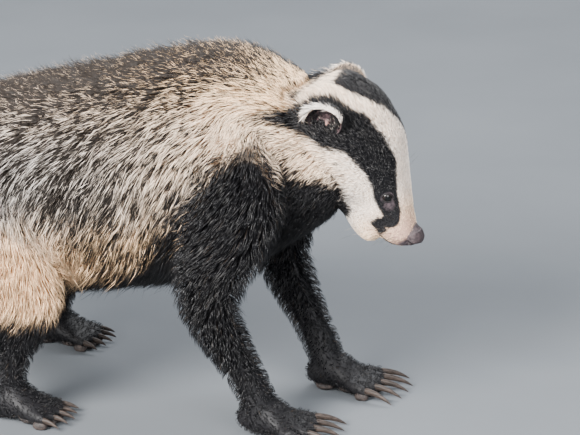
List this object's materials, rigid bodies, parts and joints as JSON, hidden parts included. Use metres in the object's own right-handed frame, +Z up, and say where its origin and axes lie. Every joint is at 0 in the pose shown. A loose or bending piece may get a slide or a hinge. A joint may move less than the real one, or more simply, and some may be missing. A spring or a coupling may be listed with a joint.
{
  "type": "european badger",
  "caption": "Life-size still model of a European badger that stands on the floor, head lowered to sniff, with striped face, grizzled coat and black legs.",
  "frame": {"origin": "centre of the model's box on the floor, under the belly", "axes": "+X the way the animal faces, +Y its left side, +Z up"},
  "size_m": [0.5922, 0.2558, 0.3166],
  "materials": {
    "grizzled_fur": "long coarse fur, grey with dark bands",
    "pale_fur": "short cream-white fur",
    "black_fur": "short black fur",
    "buff_fur": "long soft buff fur",
    "nose_leather": "moist pebbled skin",
    "eye": "wet, dark brown",
    "claw_horn": "dull horn",
    "bare_skin": "thin pink skin inside the ear and on the lids"
  },
  "bodies": {
    "root": {"torso": "grizzled_fur", "neck": "pale_fur", "head": "pale_fur", "ear_left": "black_fur", "ear_right": "black_fur", "nose": "nose_leather", "eye_left": "eye", "eye_right": "eye", "tail": "buff_fur", "foreleg_left": "black_fur", "foreleg_right": "black_fur", "forearm_left": "black_fur", "forearm_right": "black_fur", "forepaw_left": "black_fur", "forepaw_right": "black_fur", "hindleg_left": "buff_fur", "hindleg_right": "buff_fur", "shin_left": "black_fur", "shin_right": "black_fur", "hindpaw_left": "black_fur", "hindpaw_right": "black_fur"}
  },
  "joints": []
}
